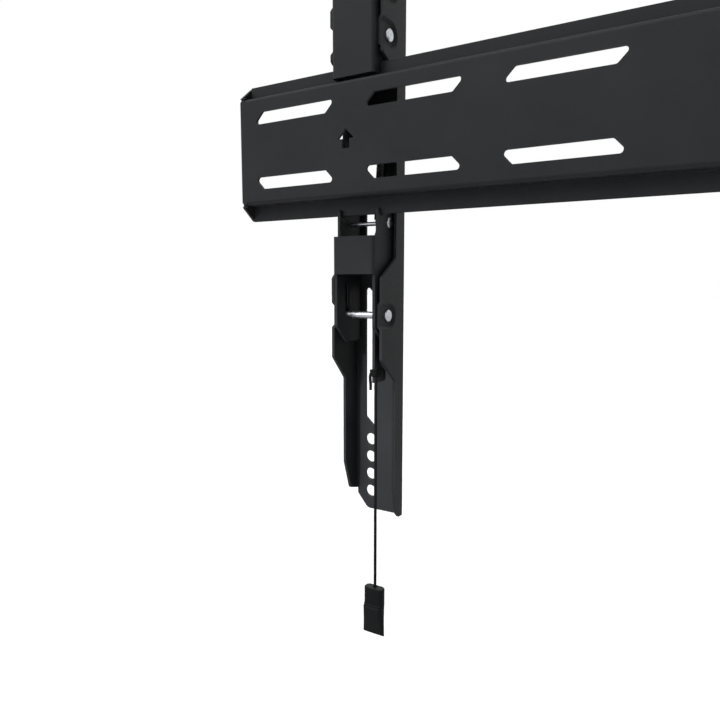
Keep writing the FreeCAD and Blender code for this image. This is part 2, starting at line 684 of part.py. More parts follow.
def knot_top_z():
    """Height of the highest turn of cord; the turns fill the lower end of the arm's hole."""
    return ARM_HOLE_BOTTOM_Z + cord_radius + CORD_GAP + (CORD_TURNS - 1) * CORD_TURN_PITCH


def knot_low_z():
    """Height of the lowest turn of cord."""
    return knot_top_z() - (CORD_TURNS - 1) * CORD_TURN_PITCH


def cord_depth():
    """Distance of the hanging cord from the wall: it drops from the turns at the arm's near edge."""
    return ARM_NEAR_DEPTH


def make_cord_knot():
    """Turns of cord round the arm's foot, through its hole, with the loose end hanging."""
    x_middle = -(arm_outer + arm_inner) / 2
    off_sheet = SHEET / 2 + CORD_GAP + cord_radius
    near = ARM_NEAR_DEPTH - CORD_GAP - cord_radius
    far = ARM_HOLE_DEPTH
    corner = cord_radius + CORD_GAP
    outline = [
        (x_middle - off_sheet, near, corner),
        (x_middle + off_sheet, near, corner),
        (x_middle + off_sheet, far, corner),
        (x_middle - off_sheet, far, corner),
    ]
    spine = rounded_face(outline, at_level(knot_top_z())).OuterWire
    first = spine.Edges[0]
    start = first.firstVertex().Point
    discs = []
    for turn in range(CORD_TURNS):
        centre = start - Vector(0, 0, turn * CORD_TURN_PITCH)
        circle = Part.makeCircle(cord_radius, centre, first.tangentAt(first.FirstParameter))
        discs.append(Part.Face(Part.Wire(circle)))
    section = discs[0].fuse(discs[1:]).removeSplitter()
    knot = spine.makePipeShell([section.Faces[0].OuterWire], True, False)
    tail_end_z = ARM_BOTTOM_Z - CORD_TAIL_LENGTH
    tail = Part.makeCylinder(cord_radius, knot_low_z() - tail_end_z,
                             Vector(x_middle, -near, tail_end_z), Vector(0, 0, 1))
    bead = Part.makeSphere(CORD_END_BEAD / 2, Vector(x_middle, -near, tail_end_z))
    return knot.fuse([tail, bead]).removeSplitter()


def make_cord():
    """Straight hanging run of cord from the knot to the pull tab."""
    length = knot_low_z() - CORD_BOTTOM_Z
    cord = Part.makeCylinder(cord_radius, length, Vector(cord_x, -cord_depth(), CORD_BOTTOM_Z),
                             Vector(0, 0, 1))
    return cord.cut(make_cord_knot())


def tab_pad(side):
    """Raised grip pad on one face of the tab, its edges bevelled."""
    depth = cord_depth()
    bottom_z = TAB_TOP_Z - TAB_HEIGHT
    half = TAB_WIDTH / 2 - TAB_PAD_INSET
    wires = []
    for rise in (0, TAB_PAD_RISE):
        plane = depth + side * (TAB_THICKNESS / 2 - EDGE_BREAK + rise * (1 + EDGE_BREAK / TAB_PAD_RISE))
        outline = [
            (cord_x - half + rise, bottom_z, 0),
            (cord_x + half - rise, bottom_z, 0),
            (cord_x + half - rise, bottom_z + TAB_PAD_HEIGHT - rise, EDGE_BREAK),
            (cord_x - half + rise, bottom_z + TAB_PAD_HEIGHT - rise, EDGE_BREAK),
        ]
        wires.append(rounded_face(outline, at_front(plane)).OuterWire)
    return Part.makeLoft(wires, True, True)


def make_pull_tab():
    """Moulded grip: flat body with a rounded top, a bevelled pad on each face and a cord collar."""
    depth = cord_depth()
    half_thick = TAB_THICKNESS / 2
    half_wide = TAB_WIDTH / 2
    bottom_z = TAB_TOP_Z - TAB_HEIGHT
    section = [
        (cord_x - half_wide, depth - half_thick, TAB_EDGE_ROUND),
        (cord_x + half_wide, depth - half_thick, TAB_EDGE_ROUND),
        (cord_x + half_wide, depth + half_thick, TAB_EDGE_ROUND),
        (cord_x - half_wide, depth + half_thick, TAB_EDGE_ROUND),
    ]
    tab = prism(section, at_level(bottom_z), Vector(0, 0, TAB_HEIGHT))
    front = [
        (cord_x - half_wide - CUT_MARGIN, bottom_z, 0),
        (cord_x + half_wide + CUT_MARGIN, bottom_z, 0),
        (cord_x + half_wide, TAB_TOP_Z, TAB_SHOULDER_ROUND),
        (cord_x - half_wide, TAB_TOP_Z, TAB_SHOULDER_ROUND),
    ]
    tab = tab.common(front_prism(front, depth - half_thick, depth + half_thick))
    side = [
        (depth - half_thick, bottom_z, EDGE_BREAK),
        (depth + half_thick, bottom_z, EDGE_BREAK),
        (depth + half_thick, TAB_TOP_Z, TAB_EDGE_ROUND),
        (depth - half_thick, TAB_TOP_Z, TAB_EDGE_ROUND),
    ]
    tab = tab.common(side_prism(side, cord_x - half_wide, cord_x + half_wide))
    tab = tab.fuse([tab_pad(-1), tab_pad(1)])
    collar = Part.makeCone(TAB_COLLAR_DIAMETER / 2, cord_radius + TAB_COLLAR_WALL, TAB_COLLAR_HEIGHT,
                           Vector(cord_x, -depth, TAB_TOP_Z))
    tab = tab.fuse(collar)
    socket = Part.makeCylinder(cord_radius, TAB_HEIGHT, Vector(cord_x, -depth, CORD_BOTTOM_Z))
    return tab.cut(socket).removeSplitter()


def bracket_pieces():
    """Every piece of the right bracket, about the channel's own middle line."""
    return {
        "bracket_channel": make_bracket(),
        "hook_plate": make_hook_plate(),
        "hook_pin_lower": main_pin(HOOK_PIN_LOWER_Z),
        "hook_pin_upper": main_pin(HOOK_PIN_UPPER_Z),
        "latch_pin": main_pin(LATCH_PIN_Z),
        "spring_anchor_pin": headed_pin(SPRING_PIN_DIAMETER, channel_half, SPRING_PIN_HEAD,
                                        SPRING_PIN_HEAD_HEIGHT, SPRING_PIN_UPPER_DEPTH,
                                        SPRING_PIN_UPPER_Z),
        "latch_plate": make_latch_plate(),
        "release_arm": make_release_arm(),
        "spring_latch_pin": headed_pin(SPRING_PIN_DIAMETER, nested_half, SPRING_PIN_HEAD,
                                       SPRING_PIN_HEAD_HEIGHT, SPRING_PIN_LOWER_DEPTH,
                                       SPRING_PIN_LOWER_Z),
        "return_spring": make_return_spring(),
        "cord_knot": make_cord_knot(),
        "pull_cord": make_cord(),
        "pull_tab": make_pull_tab(),
    }


def save(name, shape):
    """Write one piece and print its volume."""
    shape.exportStep(os.path.join("parts", name + ".step"))
    print(name, len(shape.Solids), "solid", round(shape.Volume, 1), "mm3", shape.isValid())


def main():
    os.makedirs("parts", exist_ok=True)
    save("wall_plate", make_wall_plate())
    for name, shape in bracket_pieces().items():
        right = shape.copy()
        right.translate(Vector(bracket_x, 0, 0))
        save("right_" + name, right)
        save("left_" + name, right.mirror(Vector(0, 0, 0), Vector(1, 0, 0)))


main()
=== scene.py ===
import math

import bpy
from bpy.props import FloatProperty, FloatVectorProperty, IntProperty, PointerProperty
from mathutils import Matrix, Vector


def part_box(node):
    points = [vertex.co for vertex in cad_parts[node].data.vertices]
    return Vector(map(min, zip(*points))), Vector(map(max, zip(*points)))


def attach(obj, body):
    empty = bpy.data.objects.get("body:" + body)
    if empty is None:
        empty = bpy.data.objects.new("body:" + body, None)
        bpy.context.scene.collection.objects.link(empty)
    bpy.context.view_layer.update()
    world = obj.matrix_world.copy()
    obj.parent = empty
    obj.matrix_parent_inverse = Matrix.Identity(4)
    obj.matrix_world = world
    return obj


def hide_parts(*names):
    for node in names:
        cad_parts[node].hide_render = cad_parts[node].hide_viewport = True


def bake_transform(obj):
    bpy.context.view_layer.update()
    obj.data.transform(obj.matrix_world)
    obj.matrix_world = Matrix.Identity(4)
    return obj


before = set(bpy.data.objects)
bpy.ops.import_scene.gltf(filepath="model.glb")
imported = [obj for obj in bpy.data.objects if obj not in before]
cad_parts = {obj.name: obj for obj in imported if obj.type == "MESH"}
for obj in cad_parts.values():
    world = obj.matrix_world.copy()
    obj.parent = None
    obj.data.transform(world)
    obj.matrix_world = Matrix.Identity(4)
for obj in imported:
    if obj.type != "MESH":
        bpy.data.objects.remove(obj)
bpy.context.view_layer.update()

bl_info = {
    "name": "Screen Wall Mount",
    "version": (1, 0, 0),
    "blender": (4, 5, 0),
    "location": "View3D > Sidebar > Mount",
    "description": "Dresses a folded steel wall mount with two latching brackets and their pull cords",
    "category": "Object",
}

MM = 0.001
SIDES = ("right", "left")

# Braid of the cords: spacing of the strands, and their slant from the cord
STRAND_SPACING = 0.4457 * MM
STRAND_SLANT = math.radians(35)

# Pull cords: places of the points below the knot, and how deep the end sits in the tab's hole
CORD_DROPS = [drop * MM for drop in (0, 6, 40, 74, 108, 142)]
CORD_SEAT = 3.0 * MM

# Knots: corners of one turn in millimetres, across the arm's sheet and out from its wall side edge,
# and how far the last turn runs on into the hanging cord
KNOT_CORNERS = ((1.9, -0.4), (1.4, 1.0), (-1.4, 1.0), (-1.9, -0.4),
                (-1.9, -5.4), (-1.3, -6.4), (1.3, -6.4), (1.9, -5.4))
KNOT_OVERLAP = 0.6 * MM

# Return springs: room for an end loop and its neck, distance of a loop's centre from its pin's,
# pitch of the coil in wires, place of a neck in coil radii, and how far it runs into loop and coil
SPRING_HOOK = 6.0 * MM
SPRING_LOOP_SHIFT = 1.35 * MM
SPRING_PITCH = 1.01
SPRING_NECK_PLACE = (0.45, 0.75)
SPRING_NECK_OVERLAP = 3 * MM

# Riveted pins: radius of the shaft and height of a head, then each pin's body and size
MAIN_PIN = (2.5 * MM, 1.6 * MM)
THIN_PIN = (1.5 * MM, 1.0 * MM)
PINS = {
    "hook_pin_lower": ("bracket", MAIN_PIN),
    "hook_pin_upper": ("bracket", MAIN_PIN),
    "latch_pin": ("bracket", MAIN_PIN),
    "spring_anchor_pin": ("bracket", THIN_PIN),
    "spring_latch_pin": ("latch", THIN_PIN),
}
# How far a head stays inside the end of its node's box, and where the shaft ends in head heights
HEAD_INSET = 0.3 * MM
SHAFT_STOP = 0.8

# Levels of a pull tab in millimetres: how far below the top, half the width, and the faces on the
# screen side and on the wall side of the cord. A stepped thumb pad runs out into a thin blade.
TAB_LEVELS = (
    (0.0, 6.9, -2.2, 3.8),
    (0.5, 7.4, -2.7, 4.3),
    (11.7, 7.4, -2.7, 4.3),
    (12.3, 7.4, -2.7, 5.1),
    (13.3, 7.4, -2.7, 5.2),
    (14.2, 7.4, -2.7, 6.1),
    (34.0, 8.4, 1.2, 2.4),
)
# How far the tab's top lies below its node's top, and the cord's bore below the tab's top
TAB_DROP = 2.7 * MM
BORE_DROP = 2.9 * MM
BORE_DEPTH = 6 * MM

# The photograph's camera, from a fit to the rail's and the bracket's edges
CAMERA_PLACE = (0.0103, 0.353, -0.0925)
CAMERA_FORWARD = (0.5161, -0.8475, -0.1233)
SENSOR_WIDTH = 36

# Wide sun lamps: name, way to the lamp, angle in degrees and strength
SUNS = (
    ("key", (0.25, 0.75, 0.95), 50, 2.5),
    ("side", (0.6, 0.8, 0.1), 50, 0.6),
    ("rim", (0.3, -0.9, 0.3), 50, 1.1),
)
# Spot lamp on the right bracket's lower end; the left one is its mirror image
SPOT_PLACE = (0.36, 0.75, 0.25)
SPOT_AIM = (0.228, -0.04, -0.205)
SPOT_ENERGY = 46
SPOT_SIZE = 0.05
SPOT_ANGLE = 12

FLOOR_SIZE = 60
# Strength of the white surround for the light it gives; the camera and reflections see 1
SURROUND_LIGHT = 0.13


def linear(hex_colour):
    """Linear RGBA of an sRGB hex colour."""
    channels = [int(hex_colour[i:i + 2], 16) / 255 for i in (1, 3, 5)]
    return [c / 12.92 if c <= 0.04045 else ((c + 0.055) / 1.055) ** 2.4 for c in channels] + [1.0]


def middle_of(node):
    """Centre of a frame node's box, in metres."""
    low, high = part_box(node)
    return (Vector(low) + Vector(high)) / 2


class SheetSettings(bpy.types.PropertyGroup):
    """Finish of the folded sheet steel pieces."""
    coat_colour: FloatVectorProperty(
        name="Coat colour", description="Colour of the powder coat", subtype='COLOR', size=4,
        min=0, max=1, default=linear("#242527"))
    coat_grain: FloatProperty(
        name="Coat grain", description="Width of the orange peel of the coat", subtype='DISTANCE',
        default=0.9 * MM)


class PinSettings(bpy.types.PropertyGroup):
    """Riveted pins."""
    zinc_colour: FloatVectorProperty(
        name="Zinc colour", description="Colour of the plated steel", subtype='COLOR', size=4,
        min=0, max=1, default=linear("#BFC2C8"))
    dome_share: FloatProperty(
        name="Dome", description="Part of the head's height that is rounded", subtype='FACTOR',
        min=0.1, max=0.95, default=0.7)


class SpringSettings(bpy.types.PropertyGroup):
    """Return springs."""
    wire: FloatProperty(
        name="Wire", description="Diameter of the spring wire", subtype='DISTANCE', default=1.1 * MM)
    outside: FloatProperty(
        name="Outside", description="Outside diameter of the coil", subtype='DISTANCE',
        default=7.0 * MM)
    wire_colour: FloatVectorProperty(
        name="Wire colour", description="Colour of the spring steel", subtype='COLOR', size=4,
        min=0, max=1, default=linear("#4A4A4C"))


class CordSettings(bpy.types.PropertyGroup):
    """Pull cords and their knots."""
    diameter: FloatProperty(
        name="Diameter", description="Diameter of the cord", subtype='DISTANCE', default=2.0 * MM)
    turns: IntProperty(
        name="Turns", description="Turns of cord in the knot", min=1, max=4, default=3)
    turn_pitch: FloatProperty(
        name="Turn pitch", description="Height of one turn of the knot", subtype='DISTANCE',
        default=1.5 * MM)
    cord_colour: FloatVectorProperty(
        name="Cord colour", description="Colour of the braid", subtype='COLOR', size=4,
        min=0, max=1, default=linear("#0E0E0F"))


class TabSettings(bpy.types.PropertyGroup):
    """Pull tabs."""
    corner: FloatProperty(
        name="Corner", description="Radius of the tab's upright corners", subtype='DISTANCE',
        default=2.7 * MM)
    hole: FloatProperty(
        name="Hole", description="Diameter of the cord's hole at the top", subtype='DISTANCE',
        default=3.4 * MM)
    plastic_colour: FloatVectorProperty(
        name="Plastic colour", description="Colour of the moulded tab", subtype='COLOR', size=4,
        min=0, max=1, default=linear("#101112"))


class StageSettings(bpy.types.PropertyGroup):
    """Camera, floor and light."""
    floor_drop: FloatProperty(
        name="Floor drop", description="Height of the mount's middle over the floor",
        subtype='DISTANCE', default=0.8)
    floor_colour: FloatVectorProperty(
        name="Floor colour", description="Colour of the studio floor", subtype='COLOR', size=4,
        min=0, max=1, default=linear("#F4F4F4"))
    floor_lift: FloatProperty(
        name="Floor lift", description="White that the floor adds for the camera alone",
        subtype='FACTOR', min=0, max=1, default=0.3)
    lens: FloatProperty(
        name="Lens", description="Focal length on a 36 mm sensor", subtype='DISTANCE_CAMERA',
        default=31.18)


SETTINGS = {
    "mount_sheet": SheetSettings,
    "mount_pins": PinSettings,
    "mount_springs": SpringSettings,
    "mount_cords": CordSettings,
    "mount_tabs": TabSettings,
    "mount_stage": StageSettings,
}


def add_node(tree, kind, links=(), **settings):
    """Add one shader node. A setting names a socket or a property; links are (socket, output)."""
    node = tree.nodes.new(kind)
    for name, value in settings.items():
        if hasattr(node, name):
            setattr(node, name, value)
        else:
            node.inputs[name.replace("_", " ")].default_value = value
    for socket, output in links:
        tree.links.new(output, node.inputs[socket])
    return node


def new_material(name, **shader):
    """Material with a Principled shader and its output; returns material, tree and shader."""
    material = bpy.data.materials.new(name)
    material.use_nodes = True
    tree = material.node_tree
    tree.nodes.clear()
    surface = add_node(tree, "ShaderNodeBsdfPrincipled")
    for socket, value in shader.items():
        surface.inputs[socket.replace("_", " ")].default_value = value
    add_node(tree, "ShaderNodeOutputMaterial", links=[("Surface", surface.outputs[0])])
    return material, tree, surface


def grain(tree, size, detail=2.0):
    """Noise whose blobs are about size metres wide, on Object coordinates."""
    place = add_node(tree, "ShaderNodeTexCoord")
    return add_node(tree, "ShaderNodeTexNoise", links=[("Vector", place.outputs["Object"])],
                    Scale=1 / (2 * size), Detail=detail, Roughness=0.55)


def spread(tree, factor, low, high):
    """Map 0.3 to 0.7 of a noise onto the range low to high."""
    node = add_node(tree, "ShaderNodeMapRange", links=[("Value", factor)])
    node.inputs["From Min"].default_value = 0.3
    node.inputs["From Max"].default_value = 0.7
    node.inputs["To Min"].default_value = low
    node.inputs["To Max"].default_value = high
    return node.outputs["Result"]


def tint(tree, factor, dark, light):
    """Colour that runs from dark to light with a factor."""
    node = add_node(tree, "ShaderNodeMix", data_type='RGBA')
    tree.links.new(factor, node.inputs["Factor"])
    node.inputs["A"].default_value = dark
    node.inputs["B"].default_value = light
    return node.outputs["Result"]


def shade(colour, amount):
    """A colour made lighter or darker by a share."""
    return [min(1.0, c * amount) for c in colour[:3]] + [1.0]


def powder_coat(settings):
    """Black polyester powder coat on steel, baked to a satin skin with a fine orange peel.

    It gives a soft wide sheen that follows the light, with hardly visible cloudiness.
    """
    material, tree, surface = new_material("satin_powder_coat", IOR=1.5, Specular_IOR_Level=0.1)
    clouds = grain(tree, 22 * MM, 3.0).outputs["Fac"]
    peel = grain(tree, settings.coat_grain, 2.0).outputs["Fac"]
    colour = settings.coat_colour
    coat = tint(tree, spread(tree, clouds, 0, 1), shade(colour, 0.88), shade(colour, 1.12))
    tree.links.new(coat, surface.inputs["Base Color"])
    tree.links.new(spread(tree, peel, 0.46, 0.58), surface.inputs["Roughness"])
    bump = add_node(tree, "ShaderNodeBump", links=[("Height", peel)], Strength=0.22)
    bump.inputs["Distance"].default_value = 0.06 * MM
    tree.links.new(bump.outputs[0], surface.inputs["Normal"])
    return material


def zinc_plate(settings):
    """Zinc plated steel, cold headed. It gives a bright, slightly milky metal.

    The crystals are finer than 0.1 mm and are drawn at 0.9 mm so that they show.
    """
    material, tree, surface = new_material("bright_zinc_plate", Metallic=1.0)
    spangle = grain(tree, 0.9 * MM, 3.0).outputs["Fac"]
    colour = settings.zinc_colour
    metal = tint(tree, spread(tree, spangle, 0, 1), shade(colour, 0.72), shade(colour, 1.1))
    tree.links.new(metal, surface.inputs["Base Color"])
    tree.links.new(spread(tree, spangle, 0.24, 0.38), surface.inputs["Roughness"])
    return material


def spring_steel(settings):
    """Drawn spring wire, oiled. It gives a darker metal with a tight line of light.

    The oil's streaks are drawn at 0.7 mm, coarser than they are, so that they show.
    """
    material, tree, surface = new_material("oiled_spring_steel", Metallic=1.0)
    streaks = grain(tree, 0.7 * MM, 2.0).outputs["Fac"]
    colour = settings.wire_colour
    metal = tint(tree, spread(tree, streaks, 0, 1), shade(colour, 0.8), shade(colour, 1.1))
    tree.links.new(metal, surface.inputs["Base Color"])
    tree.links.new(spread(tree, streaks, 0.28, 0.42), surface.inputs["Roughness"])
    return material


def braided_polyester(settings):
    """Braided polyester cord, dyed black. It gives a matt line with fine crossing strands.

    A wave texture of scale 1 repeats every tenth of pi, which the strands' spacing is set by.
    """
    material, tree, surface = new_material("braided_polyester", IOR=1.5, Roughness=0.9,
                                           Specular_IOR_Level=0.1)
    place = add_node(tree, "ShaderNodeTexCoord")
    strands = []
    for turn in (-1, 1):
        lay = add_node(tree, "ShaderNodeMapping", links=[("Vector", place.outputs["Object"])])
        lay.inputs["Rotation"].default_value = (0, STRAND_SLANT * turn, 0)
        strands.append(add_node(tree, "ShaderNodeTexWave", links=[("Vector", lay.outputs[0])],
                                Scale=math.pi / 10 / STRAND_SPACING, bands_direction='Z'))
    weave = add_node(tree, "ShaderNodeMath", operation='MAXIMUM')
    tree.links.new(strands[0].outputs["Fac"], weave.inputs[0])
    tree.links.new(strands[1].outputs["Fac"], weave.inputs[1])
    colour = settings.cord_colour
    thread = tint(tree, weave.outputs[0], shade(colour, 0.6), shade(colour, 1.3))
    tree.links.new(thread, surface.inputs["Base Color"])
    bump = add_node(tree, "ShaderNodeBump", links=[("Height", weave.outputs[0])], Strength=0.6)
    bump.inputs["Distance"].default_value = 0.1 * MM
    tree.links.new(bump.outputs[0], surface.inputs["Normal"])
    return material


def moulded_plastic(settings):
    """Injection moulded polypropylene with a fine spark eroded grain. It gives a dull black.

    The grain is about 0.05 mm and is drawn at 0.5 mm so that it shows.
    """
    material, tree, surface = new_material("moulded_polypropylene", IOR=1.49, Specular_IOR_Level=0.08)
    spark = grain(tree, 0.5 * MM, 2.0).outputs["Fac"]
    colour = settings.plastic_colour
    body = tint(tree, spread(tree, spark, 0, 1), shade(colour, 0.85), shade(colour, 1.15))
    tree.links.new(body, surface.inputs["Base Color"])
    tree.links.new(spread(tree, spark, 0.5, 0.62), surface.inputs["Roughness"])
    bump = add_node(tree, "ShaderNodeBump", links=[("Height", spark)], Strength=0.3)
    bump.inputs["Distance"].default_value = 0.05 * MM
    tree.links.new(bump.outputs[0], surface.inputs["Normal"])
    return material


def material_of(kind, make, settings):
    """The named material, made on first use."""
    return bpy.data.materials.get(kind) or make(settings)


def dress_nodes(nodes, material):
    """Give frame nodes a finish."""
    for name in nodes:
        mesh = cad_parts[name].data
        mesh.materials.clear()
        mesh.materials.append(material)


def nurbs_cord(name, paths, diameter, material):
    """Round cord on smooth paths. Each path is a list of (place, thickness share)."""
    curve = bpy.data.curves.new(name, 'CURVE')
    curve.dimensions = '3D'
    curve.bevel_depth = diameter / 2
    curve.bevel_resolution = 4
    curve.resolution_u = 8
    curve.use_fill_caps = True
    for path in paths:
        spline = curve.splines.new('NURBS')
        spline.points.add(len(path) - 1)
        for point, (place, share) in zip(spline.points, path):
            point.co = (*place, 1)
            point.radius = share
        spline.order_u = 3
        spline.use_endpoint_u = True
    curve.materials.append(material)
    piece = bpy.data.objects.new(name, curve)
    bpy.context.scene.collection.objects.link(piece)
    return piece


def start_piece():
    """Deselect everything before a new primitive."""
    if bpy.context.mode != 'OBJECT':
        bpy.ops.object.mode_set(mode='OBJECT')
    bpy.ops.object.select_all(action='DESELECT')


def finish_piece(piece, name, material):
    """Name a finished mesh, set its place into the mesh and give it its finish."""
    start_piece()
    piece.select_set(True)
    bpy.context.view_layer.objects.active = piece
    bpy.ops.object.transform_apply(location=True, rotation=True, scale=True)
    bpy.ops.object.shade_smooth_by_angle(angle=math.radians(35))
    piece.name = name
    piece.data.name = name
    piece.data.materials.clear()
    piece.data.materials.append(material)
    return piece


def apply_modifiers(piece):
    """Apply every modifier of a piece in order."""
    start_piece()
    piece.select_set(True)
    bpy.context.view_layer.objects.active = piece
    for modifier in list(piece.modifiers):
        bpy.ops.object.modifier_apply(modifier=modifier.name)


def join_pieces(pieces):
    """Join meshes into the first one."""
    start_piece()
    for piece in pieces:
        piece.select_set(True)
    bpy.context.view_layer.objects.active = pieces[0]
    bpy.ops.object.join()
    return pieces[0]


class MOUNT_OT_pull_cords(bpy.types.Operator):
    """Hang a straight cord from each release arm down into its pull tab"""
    bl_idname = "mount.pull_cords"
    bl_label = "Pull Cords and Knots"

    def execute(self, context):
        settings = context.scene.mount_cords
        material = material_of("braided_polyester", braided_polyester, settings)
        for side in SIDES:
            low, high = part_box(side + "_pull_cord")
            middle = middle_of(side + "_pull_cord")
            route = [(Vector((middle.x, middle.y, high[2] - drop)), 1) for drop in CORD_DROPS]
            route.append((Vector((middle.x, middle.y, low[2] - CORD_SEAT)), 1))
            cord = nurbs_cord(side + "_cord", [route], settings.diameter, material)
            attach(cord, side + "_latch")
            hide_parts(side + "_pull_cord")
            knot = self.make_knot(side, middle, high[2], settings, material)
        return {'FINISHED'}

    def make_knot(self, side, cord_middle, low_z, settings, material):
        """Turns of cord round the foot of the release arm, and the loose end beside it."""
        arm_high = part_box(side + "_release_arm")[1]
        sheet_x = middle_of(side + "_cord_knot").x
        outward = math.copysign(1, cord_middle.x - sheet_x)
        near_y = arm_high[1]

        def place(across, out, z):
            return Vector((sheet_x + outward * across * MM, near_y + out * MM, z))

        turn_path = []
        count = settings.turns * len(KNOT_CORNERS)
        for index in range(count + 1):
            across, out = KNOT_CORNERS[index % len(KNOT_CORNERS)]
            rise = (count - index) / len(KNOT_CORNERS) * settings.turn_pitch
            turn_path.append((place(across, out, low_z + rise), 1))
        turn_path.append((Vector((cord_middle.x, cord_middle.y, low_z - KNOT_OVERLAP)), 1))
        tail_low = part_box(side + "_cord_knot")[0][2]
        top = low_z + settings.turns * settings.turn_pitch
        # The loose end leaves the top turn, runs down over the others and hangs beside the cord.
        tail_path = [
            (place(-0.4, 1.1, top), 1),
            (place(-1.9, 1.2, low_z + 1.2 * MM), 1),
            (place(-2.1, 0.6, low_z - 2.0 * MM), 1),
            (place(-1.8, 0.5, tail_low + 3.0 * MM), 1),
            (place(-1.9, 0.5, tail_low + 0.9 * MM), 1),
            (place(-1.9, 0.5, tail_low + 0.1 * MM), 0.8),
        ]
        knot = nurbs_cord(side + "_knot", [turn_path, tail_path], settings.diameter, material)
        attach(knot, side + "_latch")
        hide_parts(side + "_cord_knot")
        return knot


class MOUNT_OT_return_springs(bpy.types.Operator):
    """Wind the closed coil of each return spring and bend its two end loops"""
    bl_idname = "mount.return_springs"
    bl_label = "Return Springs"

    def execute(self, context):
        settings = context.scene.mount_springs
        material = material_of("oiled_spring_steel", spring_steel, settings)
        for side in SIDES:
            pin_low = middle_of(side + "_spring_latch_pin")
            pin_high = middle_of(side + "_spring_anchor_pin")
            middle_x = middle_of(side + "_return_spring").x
            low = Vector((middle_x, pin_low.y, pin_low.z))
            high = Vector((middle_x, pin_high.y, pin_high.z))
            spring = self.wind(settings, (high - low).length)
            lean = math.atan2(low.y - high.y, high.z - low.z)
            spring.matrix_world = Matrix.Translation(low) @ Matrix.Rotation(lean, 4, 'X')
            finish_piece(spring, side + "_spring", material)
            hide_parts(side + "_return_spring")
            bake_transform(spring)
        return {'FINISHED'}

    def wind(self, settings, span):
        """Spring on the Z axis, its pins' centres at 0 and at span."""
        wire = settings.wire / 2
        coil = settings.outside / 2 - wire
        turns = round((span - 2 * SPRING_HOOK) / (settings.wire * SPRING_PITCH))
        pitch = (span - 2 * SPRING_HOOK - settings.wire) / turns
        start_piece()
        bpy.ops.mesh.primitive_circle_add(vertices=8, radius=wire, location=(0, 0, 0),
                                          rotation=(math.radians(90), 0, 0))
        body = bpy.context.active_object
        bpy.ops.object.transform_apply(location=False, rotation=True, scale=False)
        bpy.ops.object.mode_set(mode='EDIT')
        bpy.ops.mesh.select_all(action='SELECT')
        bpy.ops.transform.translate(value=(coil, 0, SPRING_HOOK + wire))
        bpy.ops.object.mode_set(mode='OBJECT')
        screw = body.modifiers.new("Coil", 'SCREW')
        screw.angle = math.tau
        screw.screw_offset = pitch
        screw.iterations = turns
        screw.steps = 20
        screw.render_steps = 20
        screw.use_merge_vertices = False
        apply_modifiers(body)
        parts = [body]
        for end, direction in ((0, 1), (span, -1)):
            start_piece()
            bpy.ops.mesh.primitive_torus_add(
                major_radius=coil, minor_radius=wire, major_segments=28, minor_segments=8,
                location=(0, 0, end + direction * SPRING_LOOP_SHIFT),
                rotation=(0, math.radians(90), 0))
            parts.append(bpy.context.active_object)
            start_piece()
            neck_low = end + direction * (SPRING_LOOP_SHIFT + coil - wire)
            neck_high = end + direction * (SPRING_HOOK + wire)
            across, out = SPRING_NECK_PLACE
            bpy.ops.mesh.primitive_cylinder_add(
                vertices=8, radius=wire, depth=abs(neck_high - neck_low) + SPRING_NECK_OVERLAP,
                location=(coil * across, coil * out, (neck_low + neck_high) / 2))
            parts.append(bpy.context.active_object)
        spring = join_pieces(parts)
        bpy.ops.object.mode_set(mode='EDIT')
        bpy.ops.mesh.select_all(action='SELECT')
        bpy.ops.mesh.fill_holes(sides=8)
        bpy.ops.mesh.normals_make_consistent(inside=False)
        bpy.ops.object.mode_set(mode='OBJECT')
        return spring


class MOUNT_OT_riveted_pins(bpy.types.Operator):
    """Turn the domed heads and the shaft of each riveted pin"""
    bl_idname = "mount.riveted_pins"
    bl_label = "Riveted Pins"

    def execute(self, context):
        settings = context.scene.mount_pins
        material = material_of("bright_zinc_plate", zinc_plate, settings)
        for side in SIDES:
            for name, (body, (shaft, rise)) in PINS.items():
                node = side + "_" + name
                pin = self.turn(node, shaft, rise, settings.dome_share)
                finish_piece(pin, node + "_rivet", material)
                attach(pin, side + "_" + body)
                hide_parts(node)
        return {'FINISHED'}

    def turn(self, node, shaft, rise, dome_share):
        """Pin along X in the box of its node, with two domed heads rise high."""
        low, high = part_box(node)
        head = (high[2] - low[2]) / 2
        middle = middle_of(node)
        parts = []
        for end, direction in ((low[0] + HEAD_INSET, -1), (high[0] - HEAD_INSET, 1)):
            start_piece()
            bpy.ops.mesh.primitive_cylinder_add(
                vertices=40, radius=head, depth=rise,
                location=(end - direction * rise / 2, middle.y, middle.z),
                rotation=(0, direction * math.radians(90), 0))
            piece = bpy.context.active_object
            bpy.ops.object.mode_set(mode='EDIT')
            bpy.ops.mesh.select_mode(type='FACE')
            bpy.ops.mesh.select_all(action='DESELECT')
            bpy.ops.object.mode_set(mode='OBJECT')
            # Only the outer face of the head is bevelled into a dome.
            for face in piece.data.polygons:
                face.select = face.normal.z > 0.9
            bpy.ops.object.mode_set(mode='EDIT')
            bpy.ops.mesh.bevel(offset=rise * dome_share, offset_pct=0, segments=6, profile=0.5,
                               affect='EDGES')
            bpy.ops.object.mode_set(mode='OBJECT')
            parts.append(piece)
        start_piece()
        bpy.ops.mesh.primitive_cylinder_add(
            vertices=32, radius=shaft, depth=high[0] - low[0] - 2 * rise * SHAFT_STOP,
            location=middle, rotation=(0, math.radians(90), 0))
        parts.append(bpy.context.active_object)
        return join_pieces(parts)


